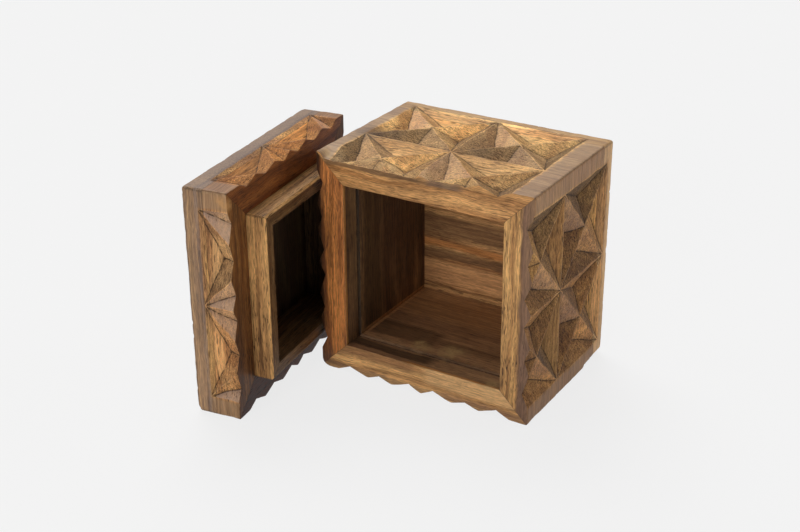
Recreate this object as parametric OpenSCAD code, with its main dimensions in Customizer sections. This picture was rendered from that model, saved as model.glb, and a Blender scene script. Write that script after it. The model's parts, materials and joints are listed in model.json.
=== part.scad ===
// Wooden puzzle box: a cube with chip-carved faces, sawn through its carving into a deep box
// and a shallow lid. The lid stands on edge beside the box, its plug turned towards the mouth.

/* [Cube] */
// Width and height of the cube
cube_w = 100; // [85:1:130]
// Depth of the box, from its mouth to its back
box_d = 72.7; // [60:0.1:110]
// Thickness of the lid, without its plug
lid_t = 20.2; // [17:0.1:26]
// Wood lost to the saw between the box and the lid
kerf = 1; // [0.5:0.1:3]
// Radius of the cube's worn outer edges
edge_r = 1.2; // [0.4:0.1:2]

/* [Boards] */
// Thickness of the four walls at the mouth
mouth_wall = 13.1; // [11:0.1:15]
// Step by which the walls grow thicker behind the rebate
shoulder = 1.4; // [0.5:0.1:2.5]
// Depth of the rebate that takes the plug
rebate_d = 9.6; // [9:0.1:14]
// Thickness of the back board
back_t = 9.3; // [7.5:0.1:14]
// Thickness of the lid's outer panel
panel_t = 9.3; // [7.5:0.1:12]

/* [Plug] */
// Distance that the plug stands out of the lid
plug_reach = 8.6; // [5:0.1:8.8]
// Thickness of the plug's four strips
plug_wall = 5.8; // [4:0.1:9]
// Clearance round the plug in the mouth
plug_gap = 0.4; // [0.2:0.05:1]
// Width of the bevel that leads the plug into the mouth
plug_lead = 0.9; // [0.3:0.1:2]
// Radius of the plug's four long corners
plug_corner = 1; // [0.3:0.1:3]

/* [Carving] */
// Depth of each three-sided pit
pit_depth = 4.2; // [2:0.1:5.5]
// Squares of the carving along each side of the cube
squares = 2; // [1:1:4]
// Plain border beside the carving, on the sides
side_border = 8.3; // [5:0.1:12]
// Plain border round the lid's outer edge
lid_border = 7; // [5:0.1:12]
// Plain border round the back edge
back_border = 4.9; // [3:0.1:12]
// Flat left on the ridge between two pits
ridge_flat = 0.35; // [0.1:0.05:1]
// Sideways shift of the pattern on the top
top_shift = -1.5; // [-3:0.1:3]
// How far the hand carver strayed from the exact pit centres
stray = 0.35; // [0:0.05:0.8]

/* [Stance of the lid] */
// Angle between the lid's shut and standing positions
lid_turn = 83; // [60:1:89]
// Gap between the plug and the box's near corner
stand_gap = 0.65; // [0.4:0.05:20]
// Distance from the lid's near end to the box's corner
stand_slide = 55.4; // [0:0.1:80]

/* [Hidden] */
$fn = 48;
past = 1;                                    // overrun of a cut past its board
lift = 0.5;                                  // overrun of a pit above its face
cavity_wall = mouth_wall + shoulder;
rim_t = mouth_wall + plug_gap;               // the lid's rims, which carry the plug
rim_d = lid_t - panel_t;
plug_w = cube_w - 2 * rim_t;                 // width and height of the plug
walls_d = box_d - back_t;
row_0 = lid_border - lid_t - kerf;           // front row of carved squares, from the mouth
row_pitch = (box_d - back_border - row_0) / squares;
side_pitch = (cube_w - 2 * side_border) / squares;
// Turns about the cube's axis that carry a bottom piece to each side
turn_bottom = 0;
turn_left = 90;
turn_top = 180;
turn_right = 270;
// The lid's near outer corner, and the middle of everything on the table
across = [sin(lid_turn), cos(lid_turn)];     // from the lid's outer face towards the box
along = [-cos(lid_turn), sin(lid_turn)];     // from the lid's near end to its far end
lid_corner = -across * (lid_t + plug_reach + stand_gap) - along * stand_slide;
corner_cut = edge_r * (sin(lid_turn) + cos(lid_turn) - 1);
lid_far = lid_corner + along * cube_w;
low_x = lid_far[0] + corner_cut;
low_y = min(0, lid_corner[1] + corner_cut);
high_y = max(box_d, (lid_far + across * lid_t)[1]);
middle = [(low_x + cube_w) / 2, (low_y + high_y) / 2];

// ---- Carving ----

// Middle of the circle that touches all three sides of a triangle, and its radius
function side(p, q) = norm(q - p);
function girth(t) = side(t[0], t[1]) + side(t[1], t[2]) + side(t[2], t[0]);
function incentre(t) =
    (t[0] * side(t[1], t[2]) + t[1] * side(t[2], t[0]) + t[2] * side(t[0], t[1])) / girth(t);
function inradius(t) = abs(cross(t[1] - t[0], t[2] - t[0])) / girth(t);

// A chip of wood: the three-sided pit in one triangle of the pattern, opening towards +Z.
// Its deepest point strays a little from the triangle's incentre.
module chip(t, number) {
    centre = incentre(t);
    shrink = 1 - ridge_flat / 2 / inradius(t);
    grow = shrink * (1 + lift / pit_depth);
    deepest = centre + stray * [sin(number * 137), cos(number * 71)];
    rim = [for (p = t) deepest + (centre + (p - centre) * shrink - deepest) * grow / shrink];
    polyhedron(
        points = concat([for (p = rim) [p[0], p[1], lift]], [[deepest[0], deepest[1], -pit_depth]]),
        faces = [[0, 2, 1], [0, 1, 3], [1, 2, 3], [2, 0, 3]]);
}

// One square of the pattern: its diagonals part it into four triangles
module carved_square(at, size, number) {
    corners = [at, at + [size[0], 0], at + size, at + [0, size[1]]];
    for (k = [0:3])
        chip([corners[k], corners[(k + 1) % 4], at + size / 2], number + k);
}

module carved_field(at, size, number) {
    for (i = [0:squares - 1], j = [0:squares - 1])
        carved_square(at + [i * size[0], j * size[1]], size, number + 4 * (i * squares + j));
}

// The chips of each face of the shut cube, whose mouth plane is y = 0. The lid's part of the
// pattern starts the saw's width further forward.
module top_chips()
    translate([0, 0, cube_w])
        carved_field([side_border + top_shift, row_0], [side_pitch, row_pitch], 1);
module bottom_chips()
    mirror([0, 0, 1])
        carved_field([side_border, row_0], [side_pitch, row_pitch], 20);
module right_chips()
    translate([cube_w, 0, 0]) rotate([90, 0, 90])
        carved_field([row_0, side_border], [row_pitch, side_pitch], 40);
module left_chips()
    mirror([1, 0, 0]) rotate([90, 0, 90])
        carved_field([row_0, side_border], [row_pitch, side_pitch], 60);
module back_chips()
    translate([0, box_d, cube_w]) rotate([-90, 0, 0])
        carved_field([side_border, side_border], [side_pitch, side_pitch], 80);
module panel_chips()
    translate([0, -lid_t, 0]) rotate([90, 0, 0])
        carved_field([side_border, side_border], [side_pitch, side_pitch], 100);

// The chips of the four long faces, for the end boards, which all four reach
module side_chips() {
    top_chips();
    bottom_chips();
    left_chips();
    right_chips();
}

// ---- Boards ----

// Square outline with round corners, drawn from exact arcs
module worn_square(size, r) {
    translate([r, 0]) square([size[0] - 2 * r, size[1]]);
    translate([0, r]) square([size[0], size[1] - 2 * r]);
    for (x = [r, size[0] - r], y = [r, size[1] - r]) translate([x, y]) circle(r);
}

// Extrudes an outline drawn in X and Z from y0 to y1
module along_y(y0, y1)
    translate([0, y1, 0]) rotate([90, 0, 0]) linear_extrude(y1 - y0) children();

// Turns a bottom piece round the cube's axis to another side
module to_side(turn)
    translate([cube_w / 2, 0, cube_w / 2]) rotate([0, turn, 0])
        translate([-cube_w / 2, 0, -cube_w / 2]) children();

// Bottom board of a mitred frame: thickness t, set in from the cube's outside by inset
module mitred(inset, t, y0, y1)
    along_y(y0, y1)
        polygon([[inset, inset], [cube_w - inset, inset],
                 [cube_w - inset - t, inset + t], [inset + t, inset + t]]);

// A wall of the box: mitred, worn along its outer corners, rebated at the mouth
module wall(turn)
    to_side(turn) difference() {
        intersection() {
            mitred(0, cavity_wall, 0, walls_d);
            along_y(0, walls_d) worn_square([cube_w, cube_w], edge_r);
        }
        translate([0, -past, mouth_wall]) cube([cube_w, rebate_d + past, shoulder + past]);
    }

// A rim of the lid, behind its panel
module rim(turn)
    to_side(turn) intersection() {
        mitred(0, rim_t, -rim_d, 0);
        along_y(-rim_d, 0) worn_square([cube_w, cube_w], edge_r);
    }

// A strip of the plug: glued inside the rims, rounded along the plug's corners, bevelled at its tip
module plug(turn) {
    bar = plug_lead * sqrt(2);               // square bar whose side cuts the bevel
    to_side(turn) difference() {
        intersection() {
            mitred(rim_t, plug_wall, -rim_d, plug_reach);
            along_y(-rim_d, plug_reach)
                translate([rim_t, rim_t]) worn_square([plug_w, plug_w], plug_corner);
        }
        translate([0, plug_reach, rim_t]) rotate([45, 0, 0])
            translate([0, -bar / 2, -bar / 2]) cube([cube_w, bar, bar]);
    }
}

// A whole end board, worn along every outer edge: its outer face is at y_out
module end_board(y_in, y_out) {
    deep = abs(y_out - y_in);
    far = y_out > y_in ? y_in - deep : y_out;
    intersection() {
        translate([0, min(y_in, y_out), 0]) cube([cube_w, deep, cube_w]);
        along_y(min(y_in, y_out), max(y_in, y_out)) worn_square([cube_w, cube_w], edge_r);
        translate([0, far, 0]) linear_extrude(cube_w) worn_square([cube_w, 2 * deep], edge_r);
        translate([0, far, 0]) rotate([90, 0, 90])
            linear_extrude(cube_w) worn_square([2 * deep, cube_w], edge_r);
    }
}

// ---- Places ----

// The row's origin is under the middle of everything, on the table
module on_table() translate([-middle[0], -middle[1], 0]) children();

// Carries a piece of the lid from its shut place to where it stands
module stood()
    on_table() translate([lid_corner[0], lid_corner[1], 0]) rotate([0, 0, -lid_turn])
        translate([-cube_w, lid_t, 0]) children();

// The lid's share of the pattern lies the saw's width further forward
module sawn_off() translate([0, kerf, 0]) children();

// ---- The box ----

module bottom_board()
    color("#8a5a33") on_table() difference() {
        wall(turn_bottom);
        bottom_chips();
    }
module top_board()
    color("#b98a55") on_table() difference() {
        wall(turn_top);
        top_chips();
    }
module left_board()
    color("#a8693a") on_table() difference() {
        wall(turn_left);
        left_chips();
    }
module right_board()
    color("#7d5635") on_table() difference() {
        wall(turn_right);
        right_chips();
    }
module back_board()
    color("#a06c3e") on_table() difference() {
        end_board(walls_d, box_d);
        back_chips();
        side_chips();
    }

// ---- The lid ----

module lid_panel()
    color("#8c6a48") stood() difference() {
        end_board(-rim_d, -lid_t);
        panel_chips();
        sawn_off() side_chips();
    }
module lid_rim_bottom()
    color("#7a5030") stood() difference() {
        rim(turn_bottom);
        sawn_off() bottom_chips();
    }
module lid_rim_top()
    color("#a97845") stood() difference() {
        rim(turn_top);
        sawn_off() top_chips();
    }
module lid_rim_left()
    color("#94623a") stood() difference() {
        rim(turn_left);
        sawn_off() left_chips();
    }
module lid_rim_right()
    color("#a9794a") stood() difference() {
        rim(turn_right);
        sawn_off() right_chips();
    }
module plug_bottom() color("#b07a44") stood() plug(turn_bottom);
module plug_top() color("#b98850") stood() plug(turn_top);
module plug_left() color("#a8713e") stood() plug(turn_left);
module plug_right() color("#c69455") stood() plug(turn_right);

bottom_board();
top_board();
left_board();
right_board();
back_board();
lid_panel();
lid_rim_bottom();
lid_rim_top();
lid_rim_left();
lid_rim_right();
plug_bottom();
plug_top();
plug_left();
plug_right();
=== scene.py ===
import json
import math

import bmesh
import bpy
import numpy as np
from mathutils import Matrix, Quaternion, Vector, noise
from mathutils.bvhtree import BVHTree
from mathutils.geometry import delaunay_2d_cdt


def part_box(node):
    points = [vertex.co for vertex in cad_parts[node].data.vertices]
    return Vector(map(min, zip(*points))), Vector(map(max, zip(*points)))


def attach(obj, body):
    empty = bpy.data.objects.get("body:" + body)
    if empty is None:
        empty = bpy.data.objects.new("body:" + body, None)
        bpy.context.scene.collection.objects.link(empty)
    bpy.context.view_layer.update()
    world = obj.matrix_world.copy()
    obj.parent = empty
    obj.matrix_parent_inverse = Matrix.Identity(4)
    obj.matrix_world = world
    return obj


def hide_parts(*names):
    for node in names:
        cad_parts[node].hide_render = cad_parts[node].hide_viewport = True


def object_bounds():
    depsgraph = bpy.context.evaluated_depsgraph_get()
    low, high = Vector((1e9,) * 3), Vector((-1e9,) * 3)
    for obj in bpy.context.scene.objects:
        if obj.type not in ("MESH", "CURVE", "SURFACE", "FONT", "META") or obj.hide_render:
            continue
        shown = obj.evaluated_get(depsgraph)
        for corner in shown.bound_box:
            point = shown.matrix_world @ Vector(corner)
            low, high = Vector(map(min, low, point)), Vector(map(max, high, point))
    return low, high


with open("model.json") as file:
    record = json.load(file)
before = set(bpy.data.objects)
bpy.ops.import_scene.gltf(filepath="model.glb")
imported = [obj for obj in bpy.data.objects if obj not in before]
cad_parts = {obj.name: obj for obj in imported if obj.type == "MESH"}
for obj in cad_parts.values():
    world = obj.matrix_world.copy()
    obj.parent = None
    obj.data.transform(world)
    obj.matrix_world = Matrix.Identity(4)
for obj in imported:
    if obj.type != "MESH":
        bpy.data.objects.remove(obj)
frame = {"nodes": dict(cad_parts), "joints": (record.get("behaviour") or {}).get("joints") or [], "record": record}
cadLow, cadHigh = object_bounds()
mm = 0.001
print("frame loaded:", len(frame["nodes"]), "boards and strips")

# The box and the lid are worked on as one shut cube, in millimetres: x to the right, y from the
# sawn cut to the back, z up. The lid's share lies at negative y, where it was before the cut.
bodyNodes = frame["record"]["behaviour"]["bodies"]
lidAcross = -Vector(frame["joints"][0]["axis"]).normalized()   # from the lid's face to its plug
lidAlong = Vector((-lidAcross.y, lidAcross.x, 0))


def spanAlong(names, way):
    reach = [v.co.dot(way) for n in names for v in frame["nodes"][n].data.vertices]
    return min(reach), max(reach)


cubeLeft, cubeRight = spanAlong(bodyNodes["box"], Vector((1, 0, 0)))
mouthAt, boxBack = spanAlong(bodyNodes["box"], Vector((0, 1, 0)))
lidFar = spanAlong(bodyNodes["lid"], lidAlong)[1]
lidFace, panelBack = spanAlong(["lid_panel"], lidAcross)
lidCut = spanAlong(["lid_rim_top"], lidAcross)[1]
cubeSize = (cubeRight - cubeLeft) / mm
boxDepth = (boxBack - mouthAt) / mm
lidDepth = (lidCut - lidFace) / mm
wallsDepth = (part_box("right_board")[1].y - mouthAt) / mm
panelDepth = (panelBack - lidFace) / mm

toMillimetres = Matrix.Diagonal((1 / mm, 1 / mm, 1 / mm, 1))
lidRows = Matrix((
    (-lidAlong.x, -lidAlong.y, 0, lidFar),
    (lidAcross.x, lidAcross.y, 0, -lidCut),
    (0, 0, 1, 0),
    (0, 0, 0, 1)))
toCube = {
    "box": toMillimetres @ Matrix.Translation((-cubeLeft, -mouthAt, 0)),
    "lid": toMillimetres @ lidRows}
fromCube = {body: matrix.inverted() for body, matrix in toCube.items()}

view = {
    "azimuth": 31.57, "elevation": 25.43, "roll": -0.38,   # degrees
    "distance": 0.5848, "lens": 63.29,                     # metres, millimetres
    "aim": (0.0017, 0.0022, 0.0021)}                       # from the middle of the object


def towards(azimuth, elevation):
    a, e = math.radians(azimuth), math.radians(elevation)
    return Vector((math.sin(a) * math.cos(e), -math.cos(a) * math.cos(e), math.sin(e)))


def placed(name, data):
    made = bpy.data.objects.new(name, data)
    bpy.context.scene.collection.objects.link(made)
    return made


def turn(item, rotation):
    item.rotation_mode = "QUATERNION"
    item.rotation_quaternion = rotation


def makeCamera():
    camera = placed("camera", bpy.data.cameras.new("camera"))
    bpy.context.scene.camera = camera
    camera.data.lens = view["lens"]
    back = towards(view["azimuth"], view["elevation"])
    camera.location = (cadLow + cadHigh) / 2 + Vector(view["aim"]) + back * view["distance"]
    level = (-back).to_track_quat("-Z", "Y")
    turn(camera, level @ Quaternion((0, 0, 1), math.radians(view["roll"])))


studio = {
    "ground": (0.905, 0.905, 0.905),   # what the camera sees of the table and the room
    "groundBounce": 0.82,              # what the table gives back to the wood
    "shadow": 0.12,                    # how much of the shadows the table shows
    "room": 0.01,                      # light from all round
    "lamps": [                         # azimuth, elevation, breadth in degrees, strength
        ("windowBehind", 228, 50, 46, 0.74),
        ("ceiling", 0, 90, 60, 0.22),
        ("screenFront", 0, 21, 34, 0.31),
        ("screenRight", 136, 15, 34, 0.21),
        ("windowLeft", 300, 40, 34, 0.10)]}


def makeLamps():
    # broad soft lights; one of strength 1 straight above would show each colour as it is written
    for name, azimuth, elevation, breadth, strength in studio["lamps"]:
        light = bpy.data.lights.new(name, "SUN")
        light.angle = math.radians(breadth)
        light.energy = strength * math.pi
        turn(placed(name, light), towards(azimuth, elevation).to_track_quat("Z", "Y"))


class Graph:
    # short ways to lay out the nodes of a material or a world and join them
    def __init__(self, owner):
        owner.use_nodes = True
        self.tree = owner.node_tree
        self.tree.nodes.clear()

    def add(self, kind, inputs=None, **settings):
        made = self.tree.nodes.new(kind)
        for name, value in settings.items():
            setattr(made, name, value)
        for name, value in (inputs or {}).items():
            self.feed(made.inputs[name], value)
        return made

    def feed(self, socket, value):
        if isinstance(value, bpy.types.NodeSocket):
            self.tree.links.new(value, socket)
        elif value is not None:
            socket.default_value = value

    def math(self, operation, a, b=None, c=None, clamp=False):
        made = self.add("ShaderNodeMath", operation=operation, use_clamp=clamp)
        for socket, value in zip(made.inputs, (a, b, c)):
            self.feed(socket, value)
        return made.outputs[0]

    def fit(self, value, low, high, outLow=0.0, outHigh=1.0):
        # smooth step of value from low to high
        return self.add("ShaderNodeMapRange", {
            "Value": value, "From Min": low, "From Max": high, "To Min": outLow, "To Max": outHigh,
            }, interpolation_type="SMOOTHSTEP").outputs["Result"]

    def mix(self, share, a, b, blend="MIX"):
        made = self.add("ShaderNodeMix", data_type="RGBA", blend_type=blend)
        made.clamp_factor = True
        colours = [s for s in made.inputs if s.type == "RGBA"]
        self.feed(made.inputs[0], share)
        self.feed(colours[0], a)
        self.feed(colours[1], b)
        return next(s for s in made.outputs if s.type == "RGBA")

    def times(self, first, *others):
        for other in others:
            first = self.math("MULTIPLY", first, other)
        return first

    def gain(self, colour, rgb):
        return self.mix(1.0, colour, (*rgb, 1), "MULTIPLY")

    def noise(self, vector, detail, roughness):
        made = self.add("ShaderNodeTexNoise", {
            "Vector": vector, "Scale": 1.0, "Detail": detail, "Roughness": roughness})
        return made.outputs[0]

    def vector(self, x, y, z):
        return self.add("ShaderNodeCombineXYZ", {"X": x, "Y": y, "Z": z}).outputs[0]

    def attribute(self, name, output="Fac"):
        return self.add("ShaderNodeAttribute", attribute_name=name).outputs[output]


def makeFloor():
    bpy.ops.mesh.primitive_plane_add(size=12, location=(0, 0, cadLow.z))
    floor = bpy.context.object
    floor.name = "floor"
    material = bpy.data.materials.new("paleTable")
    g = Graph(material)
    bounce = studio["groundBounce"]
    lit = g.add("ShaderNodeBsdfDiffuse", {"Color": (bounce, bounce, bounce, 1)}).outputs[0]
    plain = g.add("ShaderNodeEmission", {"Color": (*studio["ground"], 1)}).outputs[0]
    rays = g.add("ShaderNodeLightPath").outputs
    seen = g.math("ADD", rays["Is Camera Ray"], rays["Is Glossy Ray"], clamp=True)
    seen = g.math("ADD", seen, rays["Is Transmission Ray"], clamp=True)
    share = g.math("MULTIPLY", seen, 1 - studio["shadow"])
    shown = g.add("ShaderNodeMixShader", {0: share, 1: lit, 2: plain}).outputs[0]
    g.add("ShaderNodeOutputMaterial", {"Surface": shown})
    floor.data.materials.append(material)


def makeRoom():
    world = bpy.data.worlds.new("room")
    bpy.context.scene.world = world
    g = Graph(world)
    soft = g.add("ShaderNodeBackground", {"Color": (1, 1, 1, 1), "Strength": studio["room"]}).outputs[0]
    plain = g.add("ShaderNodeBackground", {"Color": (*studio["ground"], 1)}).outputs[0]
    rays = g.add("ShaderNodeLightPath").outputs
    seen = g.math("ADD", rays["Is Camera Ray"], rays["Is Transmission Ray"], clamp=True)
    shown = g.add("ShaderNodeMixShader", {0: seen, 1: soft, 2: plain}).outputs[0]
    g.add("ShaderNodeOutputWorld", {"Surface": shown})


makeCamera()
makeLamps()
makeFloor()
makeRoom()
bpy.context.scene.view_settings.view_transform = "Standard"
print("camera, lamps, table and room ready")


# From here on each CAD board becomes worn, hand-carved wood, in millimetres
carving = {
    "edgeStep": 1.1, "outsideStep": 1.7, "insideStep": 2.4, "hiddenStep": 7.0,   # the mesh
    "edgeRound": 0.34, "innerRound": 0.07, "seamRound": 0.1,   # open edges, inner ones, glued seams
    "sway": 0.30, "swaySize": 8.0,            # how far the ridges wander from straight,
    "swayFull": 4.5, "swayDepth": 9.0,        # whole down to here, gone by there,
    "wallFade": 5.0, "levelFade": 4.0,        # and dying down so near a wall or a still level
    "dent": 0.13, "dentSize": 6.0, "dentFull": 4.4, "dentFade": 3.0,   # what the blade left uneven
    "ridgeWear": 0.13, "ridgeBreadth": 0.45, "nick": 0.4, "nickSize": 1.9,
    "cornerWear": 0.35, "cornerReach": 2.5}   # rubbing at the cube's eight corners
weldGap = 0.002
onPlane = 0.02       # what lies this near a plane is on it
cornerBand = 1.35    # the cube's rounded edges lie this near its outer planes
carvedDepth = 5.5    # and all of the carving lies this near them
fieldRim = 0.4       # a ridge nearer than this to the carving's rim stays as it is
probeHeight = 0.06   # how far over a face other boards are looked for
edgeProbe, faceProbe = 0.3, 0.8   # and how far in from an edge, for the edge and for the face
softStart = 0.22     # how softly a worn place begins
farOff = 99.0        # further than any crease or ridge is felt
squareOn = 0.999     # a face whose normal reaches this along an axis is square to it,
cutLeast, cutMost = 0.75, 0.97   # a knife's cut leans by between these
roundLeast, leaning = 0.7, 0.02  # and a rounded edge by at least these along two axes
flatAngle = math.radians(0.4)
hardBend, softBend = 35, 5   # degrees between the faces of an edge
hardKinds = {"open": "edgeRound", "inner": "innerRound", "seam": "seamRound"}
# The cube's outer planes, each as its axis, its place and which way is out
around = [(0, 0.0, -1), (0, cubeSize, 1), (2, 0.0, -1), (2, cubeSize, 1)]
outerPlanes = {"box": [*around, (1, boxDepth, 1)], "lid": [*around, (1, -lidDepth, -1)]}


def solidOf(node, body):
    # the CAD node as the shut cube's solid, welded, with its flat triangles joined
    board = bmesh.new()
    board.from_mesh(frame["nodes"][node].data)
    board.transform(toCube[body])
    bmesh.ops.remove_doubles(board, verts=board.verts, dist=weldGap)
    bmesh.ops.dissolve_limit(board, angle_limit=flatAngle, verts=board.verts, edges=board.edges)
    board.normal_update()
    return board


solids = {node: solidOf(node, body) for body, nodes in bodyNodes.items() for node in nodes}
trees = {node: BVHTree.FromBMesh(solid) for node, solid in solids.items()}
print("boards read from the frame")


def insideAny(point, others):
    # whether the point lies inside another board: a line from it then has an odd count of crossings
    probe = Vector((0.31, 0.52, 0.795)).normalized()
    stepOn = 0.0005
    for tree in others:
        crossings = 0
        hit = tree.ray_cast(point, probe)
        while hit[0] is not None:
            crossings += 1
            hit = tree.ray_cast(hit[0] + probe * stepOn, probe)
        if crossings % 2:
            return True
    return False


def inwardOf(loop):
    way = loop.link_loop_next.vert.co - loop.vert.co
    return loop.face.normal.cross(way).normalized()


def beside(loop, gap):
    # a point just over the loop's face, so far in from the middle of its edge
    middle = (loop.edge.verts[0].co + loop.edge.verts[1].co) / 2
    return middle + inwardOf(loop) * gap + loop.face.normal * probeHeight


def surfaceOf(face, body):
    # skin is the cube's plain outside, facet a cut of the carver's knife, sawn the cut plane
    middle = face.calc_center_median()
    near = [side for side in outerPlanes[body] if abs(middle[side[0]] - side[1]) < cornerBand]
    n = face.normal
    steepest = max(abs(c) for c in n)
    for axis, place, out in near:
        if abs(middle[axis] - place) < onPlane and n[axis] * out > squareOn:
            return "skin"
    if len(near) >= 2 and steepest > roundLeast and sum(abs(c) > leaning for c in n) >= 2:
        if all(abs(v.co[side[0]] - side[1]) < cornerBand for v in face.verts for side in near[:2]):
            return "skin"
    if abs(n.y) > squareOn and abs(middle.y) < onPlane:
        return "sawn"
    shallow = all(min(depths(v.co, body)) <= carvedDepth for v in face.verts)
    return "facet" if cutLeast < steepest < cutMost and shallow else "inner"


def depths(point, body):
    # how far a point, or each of many given as columns, lies below each outer plane
    return [(place - point[axis]) * out for axis, place, out in outerPlanes[body]]


def carvedFields(board, surfaces, body):
    # the rectangle of the carving on each outer plane: axis, place, low and high corners
    flats = [v.co for face in board.faces if surfaces[face.index] == "facet" for v in face.verts]
    fields = []
    for axis, place, _ in outerPlanes[body]:
        on = np.array([tuple(p) for p in flats if abs(p[axis] - place) < onPlane])
        if len(on) > 2:
            fields.append((axis, place, on.min(0), on.max(0)))
    return fields


def insideField(ends, fields):
    # whether an edge runs on a carved plane, clear of the carving's rim
    middle = ends[0].lerp(ends[1], 0.5)
    for axis, place, low, high in fields:
        across = [k for k in range(3) if k != axis]
        if all(abs(p[axis] - place) < onPlane for p in ends):
            if all(low[k] + fieldRim < middle[k] < high[k] - fieldRim for k in across):
                return True
    return False


def stopsAlong(edge, step, extra):
    # where an edge gets vertices, as shares of its length
    length = edge.calc_length()
    count = max(1, round(length / step))
    stops = [k / count for k in range(1, count)]
    for vert, share in ((edge.verts[0], extra / length), (edge.verts[1], 1 - extra / length)):
        if vert.tag and extra and length > 3 * extra:
            stops = [s for s in stops if abs(s - share) * length > extra * 0.7] + [share]
    return sorted(stops)


def segmentGap(points, segments):
    # distance from every point to the nearest of the segments, in two or three dimensions
    block, tiny = 2000, 1e-12
    if not len(segments):
        return np.full(len(points), farOff)
    a, b = segments[:, 0], segments[:, 1]
    across = b - a
    length = np.maximum((across ** 2).sum(1), tiny)
    gap = np.empty(len(points))
    for start in range(0, len(points), block):
        p = points[start:start + block, None, :]
        t = np.clip(((p - a) * across).sum(2) / length, 0, 1)
        gap[start:start + block] = np.sqrt(((p - a - t[..., None] * across) ** 2).sum(2)).min(1)
    return gap


def clearance(points, outline):
    # which points lie inside the outline, and how far each is from it
    block, tiny = 500, 1e-12
    a, b = outline, np.roll(outline, -1, axis=0)
    across = b - a
    slope = across[:, 0] / np.where(across[:, 1] == 0, tiny, across[:, 1])
    within = np.zeros(len(points), bool)
    for start in range(0, len(points), block):
        p = points[start:start + block, None, :]
        rising = (a[:, 1] > p[..., 1]) != (b[:, 1] > p[..., 1])
        left = p[..., 0] < slope * (p[..., 1] - a[:, 1]) + a[:, 0]
        within[start:start + block] = (rising & left).sum(1) % 2 == 1
    return within, segmentGap(points, np.stack([a, b], 1))


def honeycomb(low, high, step):
    rows = np.arange(low[1], high[1], step * 0.866)
    spots = [(x + (step / 2 if k % 2 else 0), y) for k, y in enumerate(rows)
             for x in np.arange(low[0], high[0] + step, step)]
    return np.array(spots).reshape(-1, 2)


def ringOf(kinds, loop):
    kind = kinds[loop.edge.index]
    return carving[hardKinds[kind]] if kind in hardKinds else 0


def outlineOf(face, chains, points, kinds):
    # the face's outline by name and place, and rows of vertices beside its rounded edges
    bulge = 0.004   # keeps straight rows from making slivers
    names, spots, rows = [], [], []
    for loop in face.loops:
        chain = chains[loop.edge.index]
        if chain[0] != loop.vert.index:
            chain = chain[::-1]
        inward = inwardOf(loop)
        start, length = points[chain[0]], (points[chain[-1]] - points[chain[0]]).length
        for k in chain[:-1]:
            share = (points[k] - start).length / length
            names.append(k)
            spots.append(points[k] - inward * (bulge * length * share * (1 - share)))
        inset = ringOf(kinds, loop)
        before = ringOf(kinds, loop.link_loop_prev)
        if inset:
            rows += [points[k] + inward * inset for k in chain[1:-1]]
        if inset and before:
            other = inwardOf(loop.link_loop_prev)
            corner = (inward + other) / max(0.3, 1 + inward.dot(other))
            rows.append(start + corner * min(inset, before))
    return names, spots, rows


def fillFace(face, chains, points, kinds, step):
    # triangles of one flat face, over its outline, its rows and a honeycomb within
    rowGap, fine = 0.05, 1e-5
    side = (face.loops[0].link_loop_next.vert.co - face.loops[0].vert.co).normalized()
    up = face.normal.cross(side)
    names, outline, rows = outlineOf(face, chains, points, kinds)
    flat, rows = (np.array([(p.dot(side), p.dot(up)) for p in spots]).reshape(-1, 2)
                  for spots in (outline, rows))
    inner = []
    for spots, least in ((rows, rowGap), (honeycomb(flat.min(0), flat.max(0), step), step * 0.5)):
        within, gap = clearance(spots, flat)
        inner.append(spots[within & (gap > least)])
    extra = np.vstack(inner)
    height = points[names[0]].dot(face.normal)
    for u, v in extra:
        names.append(len(points))
        points.append(side * u + up * v + face.normal * height)
    spots = [Vector(p) for p in flat] + [Vector(p) for p in extra]
    found = delaunay_2d_cdt(spots, [], [list(range(len(outline)))], 1, fine, True)
    places, triangles, sources = found[0], found[2], found[3]
    middles = np.array([sum((places[k] for k in t), Vector((0, 0))) / 3 for t in triangles])
    within = clearance(middles, flat)[0]
    return [[names[sources[k][0]] for k in t] for t, kept in zip(triangles, within) if kept]


def edgeKinds(board, others, surfaces):
    # hard edges are open, inner, glued seams or hidden; soft ones are ridges, valleys or flat
    kinds = {}
    for edge in board.edges:
        bend = math.degrees(edge.calc_face_angle_signed(0.0))
        if bend < hardBend:
            kinds[edge.index] = "valley" if bend < -softBend else "ridge" if bend > softBend else "flat"
            continue
        hidden = sum(insideAny(beside(loop, edgeProbe), others) for loop in edge.link_loops)
        kinds[edge.index] = ("open", "seam", "hidden")[hidden]
        if not hidden and all(surfaces[face.index] == "inner" for face in edge.link_faces):
            kinds[edge.index] = "inner"
    return kinds


def turnOf(edge, kinds):
    # which way the rounding of a hard edge takes its vertices, and how far
    way = (edge.link_faces[0].normal + edge.link_faces[1].normal).normalized()
    return way, ringOf(kinds, edge.link_loops[0])


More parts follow.
